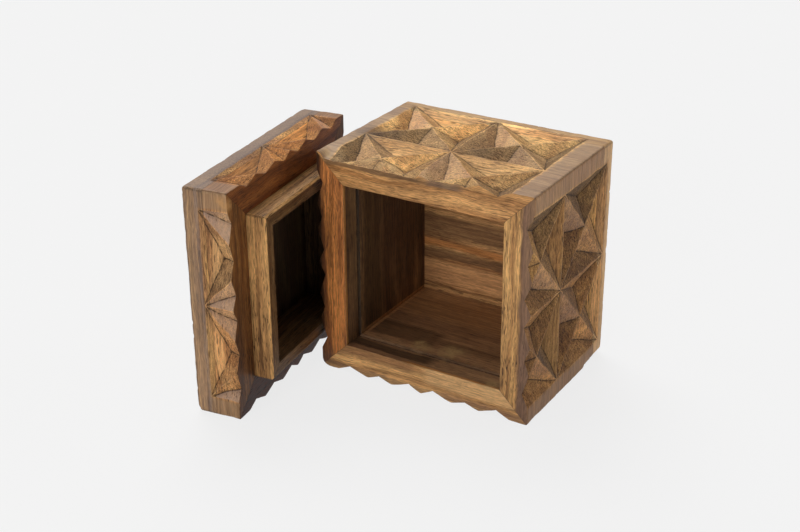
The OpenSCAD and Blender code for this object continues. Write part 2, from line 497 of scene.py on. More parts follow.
def splitEdges(board, body, kinds, surfaces, fields):
    # vertices along every edge, and which edges stay sharp, get rubbed or gather dirt, and which inner edges of
    # the box get painted shade
    points = [v.co.copy() for v in board.verts]
    chains, sharp, turns = {}, set(), {}
    lines = {"ridges": [], "valleys": [], "seamsAndShadedSteps": []}
    for edge in board.edges:
        if kinds[edge.index] in hardKinds:
            for v in edge.verts:
                v.tag = True
                turns.setdefault(v.index, []).append(turnOf(edge, kinds))
    for edge in board.edges:
        kind = kinds[edge.index]
        hard = kind in hardKinds
        sides = [surfaces[face.index] for face in edge.link_faces]
        outside = any(surface != "inner" for surface in sides)
        step = carving["hiddenStep" if kind == "hidden" else "edgeStep"]
        if not outside:
            step = max(step, carving["insideStep"])
        ends = [v.co.copy() for v in edge.verts]
        chain = [edge.verts[0].index]
        for share in stopsAlong(edge, step, 0 if hard else carving["edgeRound"]):
            if hard:
                turns[len(points)] = [turnOf(edge, kinds)]
            chain.append(len(points))
            points.append(ends[0].lerp(ends[1], share))
        chain.append(edge.verts[1].index)
        chains[edge.index] = chain
        roundCorner = all(surface == "skin" for surface in sides)
        thin = kind == "ridge" and "skin" in sides and insideField(ends, fields)
        if kind in ("valley", "ridge") and not roundCorner and not thin:
            sharp.update(tuple(sorted(pair)) for pair in zip(chain[:-1], chain[1:]))
        if kind == "valley":
            lines["valleys"].append(ends)
        # the box's inner edges, at the rebate's step, get the seams' dark line as painted shade
        elif kind == "seam" or (kind == "inner" and body == "box"):
            lines["seamsAndShadedSteps"].append(ends)
        elif kind in ("ridge", "open") and outside:
            lines["ridges"].append(ends)
    return points, chains, sharp, turns, lines


def solidOnes(triangles):
    # leaves out the odd flat flap, which has one edge of its own and shares another with two more
    edges = np.sort(triangles[:, [[0, 1], [1, 2], [2, 0]]], axis=2).reshape(-1, 2)
    found = np.unique(edges, axis=0, return_inverse=True, return_counts=True)
    counts = found[2][found[1].ravel()].reshape(-1, 3)
    return ~((counts == 1).any(1) & (counts > 2).any(1))


def refine(node, body, tonesAndShade):
    # the board's points and triangles, and what the wear and the finish need to know of them
    board = solids[node]
    board.verts.index_update()
    board.edges.index_update()
    others = [trees[n] for n in bodyNodes[body] if n != node]
    surfaces = {face.index: surfaceOf(face, body) for face in board.faces}
    kinds = edgeKinds(board, others, surfaces)
    fields = carvedFields(board, surfaces, body)
    points, chains, sharp, turns, lines = splitEdges(board, body, kinds, surfaces, fields)
    # each listed facet gets a tone, partly the wood's own and partly painted light and shade, and a greying,
    # partly painted sheen
    toneOf = {trees[node].find_nearest(Vector(t[:3]))[2]: (*t[3:], 0.0)[:2] for t in tonesAndShade}
    triangles, known = [], {"surfaces": [], "normals": [], "tonesAndShade": []}
    for face in board.faces:
        surface = surfaces[face.index]
        step = carving["insideStep" if surface in ("inner", "sawn") else "outsideStep"]
        if all(insideAny(beside(loop, faceProbe), others) for loop in face.loops):
            step = carving["hiddenStep"]
        made = fillFace(face, chains, points, kinds, step)
        triangles += made
        known["surfaces"] += [surface] * len(made)
        known["normals"] += [tuple(face.normal)] * len(made)
        known["tonesAndShade"] += [toneOf.get(face.index, (1.0, 0.0))] * len(made)
    triangles = np.array(triangles)
    solid = solidOnes(triangles)
    used, triangles = np.unique(triangles[solid], return_inverse=True)
    renamed = {int(k): place for place, k in enumerate(used)}
    return {
        "points": np.array([tuple(points[k]) for k in used]), "triangles": triangles.reshape(-1, 3),
        "sharp": {tuple(sorted(renamed[k] for k in pair)) for pair in sharp},
        "turns": {renamed[k]: ways for k, ways in turns.items() if k in renamed}, "fields": fields,
        **{key: np.array(values)[solid] for key, values in known.items()},
        **{key: np.array(ends).reshape(-1, 2, 3) for key, ends in lines.items()}}


def smooth(t):
    t = np.clip(t, 0, 1)
    return t * t * (3 - 2 * t)


def ripple(points, size, seed):
    # smooth noise from about -0.5 to 0.5 at each point
    shift = Vector((seed * 17.3, seed * 5.7, seed * 11.9))
    return np.array([noise.noise(Vector(p) / size + shift) for p in points])


def inwardField(reach, body):
    # at each point the way into the wood, turning smoothly round the cube's edges
    weight = 1 / (reach + 0.6) ** 3
    ways = np.zeros((len(reach), 3))
    for k, (axis, _, out) in enumerate(outerPlanes[body]):
        ways[k, axis] = -out
    field = np.einsum("ij,ik->jk", weight, ways)
    return field / np.maximum(np.linalg.norm(field, axis=1), 1e-9)[:, None]


# Worn and broken places of the shut cube: each is a line from one point to another, the way out of
# the wood there, how far below the line the wood is gone, how rough it broke and, where that is
# not straight in, which way the wood's points go
pastBack = boxDepth + 0.3   # a line that ends here is still whole at the back's edge
breaks = {
    "box": [
        ((3, 0, cubeSize), (48, 0, cubeSize), (0, -0.34, 0.94), 2.9, 0.16, (0, 0, 1)),
        ((48, 0, cubeSize), (66, 0, cubeSize), (0, -0.5, 0.87), 1.7, 0.3, (0, 0, 1)),
        ((0, 0, 0), (0, 3, 0), (-0.6, -0.45, -0.66), 2.0, 0.2),
        ((0, 0, 0), (0, 70, 0), (-0.7, 0, -0.7), 1.0, 0.2),
        ((cubeSize, 55, 0), (cubeSize, pastBack, 0), (0.7, 0.05, -0.7), 1.3, 0.2),
        ((cubeSize, pastBack, 0), (cubeSize, pastBack, 30), (0.7, 0.7, -0.1), 1.1, 0.2)],
    "lid": [((cubeSize, -lidDepth, 0), (cubeSize, -lidDepth, 6), (0.66, -0.66, -0.35), 1.5, 0.2)]}
# Levels along y where the sway stops, so that cut, face and ledge stay flat
stillLevels = {"box": (0.0, boxDepth, wallsDepth), "lid": (0.0, -lidDepth, panelDepth - lidDepth)}


def swayOf(p, skinDepth, body):
    # how the ridges wander, less and less towards the cube's planes and its inside
    share = smooth(1 - (skinDepth - carving["swayFull"]) / (carving["swayDepth"] - carving["swayFull"]))
    fadeX = smooth(np.minimum(p[:, 0], cubeSize - p[:, 0]) / carving["wallFade"] - 0.05)
    fadeZ = smooth(np.minimum(p[:, 2], cubeSize - p[:, 2]) / carving["wallFade"] - 0.05)
    still = np.min([abs(p[:, 1] - y) for y in stillLevels[body]], axis=0)
    fadeY = smooth(still / carving["levelFade"] - 0.02)
    sway = np.stack([ripple(p, carving["swaySize"], seed) * fade
                     for seed, fade in ((1, fadeX), (2, fadeY), (3, fadeZ))], 1)
    return sway * 2 * carving["sway"] * share[:, None]


def roundEdges(p, moved, turns):
    # hard edges give way by a share of the row beside them, more where they meet, and unevenly
    alone, together, unevenSize = 0.42, 0.62, 6.0
    for k, ways in turns.items():
        total = sum((way for way, amount in ways), Vector((0, 0, 0)))
        share = together if total.length > 1.2 * len(ways) ** 0.5 else alone
        rub = 0.8 + 0.45 * noise.noise(Vector(p[k]) / unevenSize)
        amount = max(a for way, a in ways) * share * max(0.35, min(1.15, rub))
        moved[k] -= np.array(total.normalized()) * amount


def breakOff(p, moved, start, end, out, depth, rough, push=None):
    # wood is gone above a rough plane along the line, less and less towards the line's ends
    endFade, coarse, fine = 2.5, 3.0, 1.1
    a, out = np.array(start, float), np.array(out) / np.linalg.norm(out)
    line = np.array(end) - a
    share = ((p - a) @ line) / (line @ line)
    ends = smooth(np.minimum(share, 1 - share) * np.linalg.norm(line) / endFade + 0.55)
    level = depth + rough * (2 * ripple(p, coarse, 8) + ripple(p, fine, 9))
    above = softStart * np.logaddexp(0, (((moved - a) @ out) + level) / softStart)
    push = np.array(push or out)
    moved -= push * (above * (above > 0.02) * ends / (push @ out))[:, None]


def wear(shape, body):
    # moves the fine mesh's points: wandering ridges, dents, rubbed edges, nicks and broken places
    p = shape["points"]
    reach = np.array(depths(p.T, body))
    skinDepth = reach.min(0)
    into = inwardField(reach, body)
    moved = p + swayOf(p, skinDepth, body)
    dents = ripple(p, carving["dentSize"], 4) + 0.5 * ripple(p, carving["dentSize"] / 2.7, 5) + 0.45
    exposed = smooth(1 - (skinDepth - carving["dentFull"]) / carving["dentFade"])
    moved += into * (np.clip(dents, 0, 1) * carving["dent"] * exposed)[:, None]
    roundEdges(p, moved, shape["turns"])
    onRidge = smooth(1 - segmentGap(p, shape["ridges"]) / carving["ridgeBreadth"]) * (skinDepth < 0.5)
    rub = np.clip(0.5 + 1.3 * ripple(p, 5.0, 6), 0, 1) * carving["ridgeWear"]
    nicks = np.clip(ripple(p, carving["nickSize"], 7) - 0.34, 0, 1) * 4 * carving["nick"]
    moved += into * ((rub + np.clip(nicks, 0, carving["nick"])) * onRidge)[:, None]
    corner = smooth(1 - np.sort(np.maximum(reach, 0), axis=0)[:3].sum(0) / carving["cornerReach"])
    moved += into * (corner * carving["cornerWear"])[:, None] * (skinDepth < 1.3)[:, None]
    for spot in breaks[body]:
        breakOff(p, moved, *spot)
    for axis, place, out in outerPlanes[body]:
        hold = np.minimum if out > 0 else np.maximum
        moved[:, axis] = hold(moved[:, axis], place)
    return moved


def skinWeight(shape):
    # 1 on the plain borders, 0 inside the carved fields, for every point
    fade = 0.9
    p = shape["points"]
    weight = np.ones(len(p))
    for axis, place, low, high in shape["fields"]:
        on = abs(p[:, axis] - place) < onPlane
        across = [k for k in range(3) if k != axis]
        beyond = np.maximum(low[across] - p[:, across], p[:, across] - high[across]).max(1)
        weight[on] = np.minimum(weight[on], smooth(beyond[on] / fade))
    return weight


def spotsAt(p, spots):
    # blotches as (x, y, z, radius, strength), soft and ragged at their rims
    ragged, raggedSize = 3.0, 4.0
    value = np.zeros(len(p))
    for x, y, z, radius, strength in spots:
        gap = np.linalg.norm(p - np.array((x, y, z)), axis=1) + ragged * ripple(p, raggedSize, 11)
        value = np.maximum(value, strength * smooth(1.4 - 1.4 * gap / radius))
    return value


def woodPlaces(p, normals, side):
    # where points lie in their board's wood, and how much their faces cut across the grain
    along, across, deep, start = sidePlaces[side]
    wood = np.stack([p @ np.array(way) for way in (along, across, deep)], 1)
    wood[:, 2] += start
    return wood, abs(normals @ np.array(along))


def cornerValues(shape, side, look):
    # what the wood's colours need to know at each corner of each triangle
    p, corners = shape["points"], shape["triangles"].ravel()
    owner = np.repeat(np.arange(len(shape["triangles"])), 3)
    surface, normals = shape["surfaces"][owner], shape["normals"][owner]
    wood, end = woodPlaces(p[corners], normals, side)
    if side in endsLike:
        turned = abs(normals[:, 0]) > 0.8
        wood[turned], end[turned] = woodPlaces(p[corners][turned], normals[turned], endsLike[side])
    creased = (surface == "facet") | (surface == "inner")
    return wood, {
        "skin": np.where(surface == "skin", skinWeight(shape)[corners], 0.0),
        "valley": np.where(creased, segmentGap(p, shape["valleys"])[corners], farOff),
        "ridge": segmentGap(p, shape["ridges"])[corners],
        "seam": segmentGap(p, shape["seamsAndShadedSteps"])[corners],
        "within": (surface == "inner").astype(float),
        "sawn": (surface == "sawn").astype(float),
        "endGrain": end,
        "tone": shape["tonesAndShade"][owner, 0],
        "pale": shape["tonesAndShade"][owner, 1],
        "broken": spotsAt(p, look["broken"])[corners],
        "stained": spotsAt(p, look["stained"])[corners]}


def makeBoard(name, node, body, side, look):
    shape = refine(node, body, look["tonesAndShade"])
    mesh = bpy.data.meshes.new(name)
    mesh.from_pydata(wear(shape, body).tolist(), [], shape["triangles"].tolist())
    mesh.transform(fromCube[body])
    mesh.update()
    wood, values = cornerValues(shape, side, look)
    for key, value in values.items():
        layer = mesh.attributes.new(key, "FLOAT", "CORNER")
        layer.data.foreach_set("value", value.astype(np.float32))
    layer = mesh.attributes.new("woodPlace", "FLOAT_VECTOR", "CORNER")
    layer.data.foreach_set("vector", wood.astype(np.float32).ravel())
    keys = {tuple(sorted(e.vertices)): e.index for e in mesh.edges}
    flags = np.zeros(len(mesh.edges), bool)
    flags[[keys[pair] for pair in shape["sharp"] if pair in keys]] = True
    mesh.attributes.new("sharp_edge", "BOOLEAN", "EDGE").data.foreach_set("value", flags)
    mesh.polygons.foreach_set("use_smooth", np.ones(len(mesh.polygons), bool))
    mesh.materials.append(makeWood(name + "Wood", look))
    board = placed(name, mesh)
    even = board.modifiers.new("evenShading", "WEIGHTED_NORMAL")
    even.keep_sharp = True
    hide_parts(node)
    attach(board, body)
    return board


# The wood's colours. Each pattern in it: its rates along and across the grain and down into the
# board, its detail and its roughness
patterns = {
    "line": (0.016, 0.34, 0.5, 2.0, 0.55), "patch": (0.022, 0.06, 0.06, 2.0, 0.6),
    "streak": (0.03, 1.05, 1.05, 3.0, 0.65), "dash": (0.2, 2.7, 2.7, 1.0, 0.5),
    "fibre": (0.3, 4.2, 4.2, 2.0, 0.65), "speck": (1.5, 2.4, 2.4, 2.0, 0.75),
    "wave": (0.07, 0.4, 0.4, 3.0, 0.6), "breakUp": (0.5, 0.5, 0.5, 3.0, 0.65)}
cornerKeys = "skin sawn within valley ridge seam endGrain tone pale broken stained".split()
waveDepth = 3.2        # how far the painted bands wander, mm
reliefDepth = 0.0002   # of the fibres and pores, metres
waxIor = 1.48


def shade(code):
    # a colour written as six hex digits, for the shader
    parts = [int(code[k:k + 2], 16) / 255 for k in (0, 2, 4)]
    return tuple(c / 12.92 if c <= 0.04045 else ((c + 0.055) / 1.055) ** 2.4 for c in parts) + (1,)


def scaled(g, vector, x, y, z):
    return g.add("ShaderNodeVectorMath", {0: vector, 1: (x, y, z)}, operation="MULTIPLY").outputs[0]


def summed(g, a, b):
    return g.add("ShaderNodeVectorMath", {0: a, 1: b}, operation="ADD").outputs[0]


def pattern(g, name, vector):
    x, y, z, detail, roughness = patterns[name]
    return g.noise(scaled(g, vector, x, y, z), detail, roughness)


def wavyGrain(g, place, look):
    # the board's place in its tree, bent by slow and by short waves across the grain
    grain = summed(g, place, look["start"])
    for rate, side, amount in ((0.022, 0.045, look["waviness"]), (0.09, 0.22, look["ripple"])):
        wave = g.add("ShaderNodeTexNoise", {"Vector": scaled(g, grain, rate, side, side),
                                            "Scale": 1.0, "Detail": 1.0}).outputs["Color"]
        wave = summed(g, wave, (-0.5, -0.5, -0.5))
        grain = summed(g, grain, scaled(g, wave, 0, amount, amount))
    return grain


def tinted(g, share, colour, dark, light):
    # colour made darker or lighter where share is 0 or 1
    tint = g.mix(share, (*dark, 1), (*light, 1))
    return g.mix(1.0, colour, tint, "MULTIPLY")


def greyed(g, share, colour, dark, light):
    return tinted(g, share, colour, (dark, dark, dark), (light, light, light))


def woodMasks(g, place, grain):
    # grey values that the parts of the finish share: what the mesh says, and the fine patterns
    m = {name: g.attribute(name) for name in cornerKeys}
    rest = g.math("SUBTRACT", g.math("SUBTRACT", 1.0, m["skin"]), m["sawn"])
    m["carved"] = g.math("SUBTRACT", rest, m["within"], clamp=True)
    m["patch"], m["fibre"] = pattern(g, "patch", grain), pattern(g, "fibre", grain)
    m["fine"] = g.fit(m["fibre"], 0.3, 0.7)
    m["streak"] = g.fit(pattern(g, "streak", grain), 0.3, 0.7)
    dash = g.fit(pattern(g, "dash", grain), 0.575, 0.65)
    m["dash"] = g.times(dash, g.fit(m["patch"], 0.62, 0.38, 0.35, 1.0))
    m["speck"] = pattern(g, "speck", place)
    m["breakUp"] = pattern(g, "breakUp", grain)
    return m


def grownWood(g, look, grain, m):
    # growth rings, as tilted layers with thin dark lines between some of them
    parts = g.add("ShaderNodeSeparateXYZ", {"Vector": grain}).outputs
    layer = g.math("MULTIPLY_ADD", parts["Y"], look["tilt"], parts["Z"])
    ringPlace = g.vector(g.times(parts["X"], 0.008), g.times(parts["Y"], 0.02),
                         g.times(layer, look["ringRate"]))
    rings = g.fit(g.noise(ringPlace, 3.0, 0.6), 0.34, 0.66)
    colour = g.mix(rings, shade(look["dark"]), shade(look["light"]))
    line = g.fit(pattern(g, "line", grain), 0.60, 0.70)
    colour = g.mix(g.times(line, look["lines"]), colour, shade(look["line"]))
    # slow patches, streaks, short dark dashes and fine fibres
    colour = tinted(g, g.fit(m["patch"], 0.3, 0.7), colour, (0.82, 0.79, 0.76), (1.16, 1.16, 1.14))
    low, high = 1 - 0.34 * look["streak"], 1 + 0.24 * look["streak"]
    colour = tinted(g, m["streak"], colour, (low, low * 0.97, low * 0.95), (high, high, high * 0.99))
    colour = g.mix(g.times(m["dash"], look["dashes"]), colour, shade(look["pore"]))
    return greyed(g, m["fine"], colour, 1 - 0.3 * look["fibre"], 1 + 0.24 * look["fibre"])


def poresOf(g, look, grain, m):
    # long along the grain, so dots and short flecks wherever the knife cut across it
    cell = g.add("ShaderNodeTexVoronoi", {"Vector": scaled(g, grain, 0.17, 1.25, 1.25), "Scale": 1.0,
                                          "Randomness": 1.0}, voronoi_dimensions="3D")
    kept = g.add("ShaderNodeSeparateXYZ", {"Vector": cell.outputs["Color"]}).outputs["X"]
    kept = g.fit(kept, 0.92 - look["pores"], 1.0 - look["pores"])
    pore = g.times(g.fit(cell.outputs["Distance"], 0.40, 0.18), kept,
                   g.math("MULTIPLY_ADD", m["carved"], 0.4, 0.6), look["poreDark"])
    fleck = g.times(g.fit(m["speck"], 0.48, 0.62), m["carved"], look["flecks"],
                    g.fit(m["tone"], 0.6, 1.6, 1.2, 0.7), g.fit(m["endGrain"], 0.1, 0.4, 0.35, 1.0))
    return g.math("MAXIMUM", pore, fleck)


def cutWood(g, look, colour, m):
    # painted glints: cut facets made lighter at specks, a painted highlight; and cut across the grain wood drinks
    # more oil and goes darker and warmer
    paintedGlint = g.times(g.fit(m["speck"], 0.44, 0.34), m["carved"],
                    g.fit(m["endGrain"], 0.1, 0.4, 0.3, 1.0), 0.5)
    colour = g.mix(paintedGlint, colour, (*look["paintedGlint"], 1), "MULTIPLY")
    colour = g.mix(m["carved"], colour, g.gain(colour, look["facetGain"]))
    dark = g.math("POWER", 2.718, g.times(m["endGrain"], -look["endDark"]))
    warm = g.vector(dark, g.math("POWER", dark, 1.06), g.math("POWER", dark, 1.14))
    return g.mix(1.0, colour, warm, "MULTIPLY")


def agedAndShadedWood(g, look, colour, m):
    # the plain borders went grey; single facets get their own tone, partly painted light and shade, and some a
    # grey, partly painted sheen
    greys = g.mix(m["streak"], shade(look["skinDark"]), shade(look["skin"]))
    greys = greyed(g, m["fine"], greys, 0.9, 1.08)
    colour = g.mix(g.times(m["skin"], look["skinCover"]), colour, greys)
    toned = g.vector(m["tone"], g.math("POWER", m["tone"], 0.97), g.math("POWER", m["tone"], 0.86))
    colour = g.mix(1.0, colour, toned, "MULTIPLY")
    # some facets greyer and paler: partly greyed wood, partly a painted sheen
    return g.mix(m["pale"], colour, g.mix(m["pore"], shade(look["pale"]), colour))


def band(on, by, at, width, tint, strength, wave=1.0, reach=None):
    # a painted band: on which surface, across which way of the wood, and where it ends
    return {"on": on, "by": by, "at": at, "width": width, "tint": tint, "strength": strength,
            "wave": wave, "reach": reach}


def bandedWood(g, look, colour, place, grain, m):
    # bands painted one by one into the wood of the borders, the saw cut and the inside
    # some bands inside the box are painted light and painted shade, where light falls in through the mouth
    own = g.add("ShaderNodeSeparateXYZ", {"Vector": place}).outputs
    axes = {"along": own["X"], "across": own["Y"], "deep": own["Z"]}
    wave = g.times(g.math("SUBTRACT", pattern(g, "wave", grain), 0.5), waveDepth)
    detail = greyed(g, m["fine"], (1, 1, 1, 1), 0.82, 1.14)
    detail = tinted(g, m["streak"], detail, (0.74, 0.71, 0.69), (1.2, 1.2, 1.19))
    detail = g.mix(g.times(m["dash"], look["dashes"] * 0.6), detail, (0.4, 0.34, 0.3, 1))
    softEnd = 3   # mm

    def banded(colour, surface):
        for item in look["bands"]:
            if item["on"] != surface:
                continue
            off = g.math("SUBTRACT", axes[item["by"]], item["at"])
            off = g.math("ABSOLUTE", g.math("MULTIPLY_ADD", wave, item["wave"], off))
            share = g.fit(off, item["width"] * 0.62, item["width"] * 0.36)
            if item["reach"]:
                axis, start, end = item["reach"]
                share = g.times(share, g.fit(axes[axis], start - softEnd, start + softEnd),
                                g.fit(axes[axis], end + softEnd, end - softEnd))
            tint = g.mix(1.0, shade(item["tint"]), detail, "MULTIPLY")
            colour = g.mix(g.times(share, item["strength"]), colour, tint)
        return colour

    colour = banded(colour, "skin")
    for surface in ("sawn", "within"):
        m[surface + "Colour"] = banded(g.gain(colour, look[surface + "Gain"]), surface)
    colour = g.mix(m["sawn"], colour, m["sawnColour"])
    return g.mix(m["within"], colour, m["withinColour"])


def wornLitAndShadedWood(g, look, colour, m):
    # pale ridges, worn and partly a painted highlight; dark creases, partly dirt and partly painted shade; dark
    # seams and painted shade at the box's inner steps; darker blotches; raw broken wood, and painted pools of
    # light on the hollow's floor
    # pale ridges: rubbed wood and a painted highlight
    rub = g.times(g.fit(m["ridge"], 0.5, 0.0), g.fit(m["breakUp"], 0.45, 0.7), look["ridgeWearAndHighlight"])
    colour = g.mix(rub, colour, shade(look["rubbedAndHighlight"]))
    creaseDirtAndShade = g.times(g.fit(m["valley"], 0.46, 0.1), g.fit(m["breakUp"], 0.36, 0.6, 0.25, 1.0))
    # a broad painted shade in and beside the valleys
    creaseDirtAndShade = g.math("ADD", creaseDirtAndShade, g.times(g.fit(m["valley"], 2.2, 0.0), 0.22), clamp=True)
    seam = g.times(g.fit(m["seam"], 0.22, 0.05), g.fit(m["breakUp"], 0.3, 0.7, 0.35, 1.0))
    dirtAndShade = g.math("MAXIMUM", g.times(creaseDirtAndShade, look["creaseDirtAndShade"]), g.times(seam, look["seam"]))
    colour = g.mix(dirtAndShade, colour, shade(look["creaseDirtAndShadeColour"]))
    blotchColour = g.times(m["stained"], g.fit(m["streak"], 0, 1, 0.75, 1.0))
    colour = g.mix(blotchColour, colour, shade(look["blotchColour"]))
    rawAndLit = g.times(m["broken"], g.fit(m["breakUp"], 0.3, 0.6, 0.3, 1.0))
    return g.mix(rawAndLit, colour, shade(look["rawAndLit"]))


def makeWood(name, look):
    material = bpy.data.materials.new(name)
    g = Graph(material)
    place = g.attribute("woodPlace", "Vector")
    grain = wavyGrain(g, place, look)
    m = woodMasks(g, place, grain)
    m["pore"] = poresOf(g, look, grain, m)
    colour = g.mix(m["pore"], grownWood(g, look, grain, m), shade(look["pore"]))
    colour = agedAndShadedWood(g, look, cutWood(g, look, colour, m), m)
    colour = bandedWood(g, look, colour, place, grain, m)
    colour = g.gain(wornLitAndShadedWood(g, look, colour, m), look["cast"])
    # satin wax on the borders, rougher in pores and on end grain
    rough = g.fit(m["fibre"], 0.3, 0.7, look["rough"] - 0.05, look["rough"] + 0.07)
    rough = g.math("MULTIPLY_ADD", m["pore"], 0.2, rough)
    rough = g.math("MULTIPLY_ADD", m["carved"], 0.12, rough)
    rough = g.math("MULTIPLY_ADD", m["endGrain"], 0.12, rough, clamp=True)
    height = g.times(g.math("SUBTRACT", m["fibre"], 0.5), 0.8)
    height = g.math("SUBTRACT", height, m["pore"])
    bump = g.add("ShaderNodeBump", {
        "Strength": look["bump"], "Distance": reliefDepth, "Height": height}).outputs[0]
    wood = g.add("ShaderNodeBsdfPrincipled", {
        "Base Color": colour, "Roughness": rough, "Normal": bump,
        "Specular IOR Level": look["shine"], "IOR": waxIor}).outputs[0]
    g.add("ShaderNodeOutputMaterial", {"Surface": wood})
    return material


# What the boards share. Each one names its own light and dark wood, and its start in the tree.
walnut = {
    "line": "55331d", "pore": "3a2515", "rubbedAndHighlight": "d0ab7c",
    "skin": "a1836a", "skinDark": "806453", "creaseDirtAndShadeColour": "2c1a0f", "rawAndLit": "c29c66", "blotchColour": "4a3a30",
    "pale": "c6a286", "cast": (1, 1.05, 1.17), "paintedGlint": (1.45, 1.45, 1.4),
    "facetGain": (1, 1, 1), "sawnGain": (1, 1, 1), "withinGain": (1, 1, 1),
    "waviness": 4.0, "ripple": 0.8, "tilt": 0.3, "ringRate": 0.26, "lines": 0.5, "streak": 1.0,
    "dashes": 0.7, "fibre": 0.9, "pores": 0.5, "poreDark": 0.7, "flecks": 0.6, "endDark": 0.9,
    "skinCover": 0.66, "ridgeWearAndHighlight": 0.2, "creaseDirtAndShade": 0.7, "seam": 0.35,
    "rough": 0.48, "shine": 0.3, "bump": 0.6,
    "bands": [], "tonesAndShade": [], "stained": [], "broken": []}
# Where each side's wood runs: along the grain, across it, down into the board, and from where
right, back, up = (1, 0, 0), (0, 1, 0), (0, 0, 1)
left, front, down = (-1, 0, 0), (0, -1, 0), (0, 0, -1)
sidePlaces = {
    "top": (right, back, down, cubeSize), "bottom": (right, back, up, 0),
    "left": (up, back, right, 0), "right": (up, back, left, cubeSize),
    "back": (right, up, front, boxDepth), "panel": (up, right, back, lidDepth)}
endsLike = {"back": "right"}   # a board whose ends match the side they show on


def board(name, node, body, side, look):
    made = makeBoard(name, node, body, side, {**walnut, **look})
    print(name, "carved:", len(made.data.polygons), "triangles")


topWood = {
    "light": "d3a468", "dark": "ab7a47", "skin": "a08469", "skinDark": "8b6f57", "start": (40, 12, 90),
    "facetGain": (1.42, 1.46, 1.4), "sawnGain": (1.28, 1.17, 1.08), "dashes": 0.5, "streak": 0.85,
    "bands": [
        band("sawn", "deep", 3.1, 3.4, "7d5b3c", 0.85, wave=0.4, reach=("along", 3, 50)),
        band("sawn", "deep", 3, 3.6, "6e5a4b", 0.7, reach=("along", 52, 68))],
    # facets darker or lighter, partly their own tone, partly painted light and shade: a point on each, tone, grey
    # and painted sheen
    "tonesAndShade": [(87, 46, 99, 0.57), (87, 9, 98, 0.68), (10, 9, 98, 0.62), (63, 37, 99, 0.67),
              (21, 37, 99, 0.65), (78, 3, 98, 0.75), (81, 40, 98, 0.78, 0.1), (46, 46, 98, 0.87),
              (77, 36, 99, 0.8, 0.2), (35, 36, 99, 0.8, 0.1), (21, 17, 99, 0.82, 0.1),
              (52, 47, 99, 0.87, 0.1), (50.5, 29, 98.5, 0.8), (52, 9, 98, 1.05, 0.25),
              (10, 47, 99, 1.48), (39, 13, 99, 1.6), (39, 54, 99, 1.9), (59, 13, 99, 1.2, 0.3),
              (28, 24, 99, 1.15), (17, 13, 99, 1.12, 0.2), (59, 54, 99, 1.25, 0.3),
              (17, 54, 99, 1.9, 0.4), (22, 57, 99, 1.4, 0.1), (36, 3, 98, 1.05), (27, 62, 97, 1.6)],
    # darker blotches on some facets
    "stained": [(9, 30, 98.5, 10, 0.6), (14, 36, 98, 8, 0.4), (57, 34, 98, 8, 0.35),
                (38, 60, 98, 7, 0.25)],
    "broken": [(4.5, 2, 99.5, 4, 0.6), (24, 4, 99.3, 4, 0.6), (30, 4, 99.3, 3.5, 0.6),
               (36, 4.5, 99, 4, 0.5), (62, 2, 99, 3, 0.4)]}
board("topBoard", "top_board", "box", "top", topWood)

bottomWood = {
    "light": "bd8a55", "dark": "93643b", "start": (160, 60, 20),
    "dashes": 0.45, "streak": 0.8, "sawnGain": (1.88, 2.08, 2.05), "withinGain": (0.83, 0.88, 1.1),
    "bands": [
        band("sawn", "deep", 1.4, 3.6, "8f6a4c", 0.6),
        band("sawn", "deep", 9.9, 9, "eebb7c", 0.7, reach=("along", 52, 96)),
        band("sawn", "deep", 12.6, 9, "8f6039", 0.6, reach=("along", 6, 46)),
        band("sawn", "deep", 2.8, 2.6, "97694a", 0.5, reach=("along", 60, 96)),
        # inside: a painted strip of light at the threshold, painted shade in the dark bands, and the pale glued
        # joint along the left wall
        band("within", "across", 0.3, 1.7, "dc9650", 0.7, wave=0.3, reach=("along", 42, 86)),
        band("within", "across", 5.6, 5.4, "2a190d", 0.75, reach=("along", 10, 52)),
        band("within", "across", 21, 13, "36220f", 0.55, reach=("along", 10, 47)),
        band("within", "across", 20.5, 5, "54361d", 0.5, reach=("along", 48, 90)),
        band("within", "across", 50, 24, "c08b54", 0.4),
        band("within", "along", 15.1, 1.9, "bd8a58", 0.85, wave=0.1, reach=("across", 13, 64))],
    # the floor at the rebate's step is darkened as painted shade
    "tonesAndShade": [(50, 10, 14, 0.55), (50, 5, 13, 0.97)],
    # these pale spots on the hollow's floor are painted pools of light falling in through the mouth
    "broken": [(42.5, 14, 14.5, 6, 1.0), (57, 14.5, 14.5, 6.5, 1.0), (82, 3, 13.1, 5, 0.8)]}
board("bottomBoard", "bottom_board", "box", "bottom", bottomWood)

leftWood = {
    "light": "c0742f", "dark": "8a4d20", "start": (20, 140, 220),
    "sawnGain": (1.5, 1.66, 2.5), "withinGain": (0.55, 0.93, 2.4), "streak": 1.1,
    # the inner wall beyond the step is darkened as painted shade, the strip by the mouth lightened as painted
    # light
    "tonesAndShade": [(14, 10, 50, 0.3), (13, 5, 50, 1.2)],
    "bands": [
        # inside: a dark band of painted shade, the pale glued joint by the floor, and a painted strip of light by
        # the mouth
        band("within", "across", 19.5, 13, "221710", 0.5, wave=0.5),
        band("within", "along", 15, 2, "c99660", 0.8, wave=0.1, reach=("across", 13, 66)),
        band("within", "across", 0.3, 2.2, "e09a50", 0.7, wave=0.3),
        band("sawn", "along", 2, 9, "6b4a30", 0.5),
        band("sawn", "deep", 6.6, 0.5, "6b3d1e", 0.5),
        band("sawn", "deep", 0, 6.8, "6b4226", 0.65),
        band("sawn", "deep", 0, 3.4, "25150c", 0.8, reach=("along", 13, 104))]}
board("leftBoard", "left_board", "box", "left", leftWood)

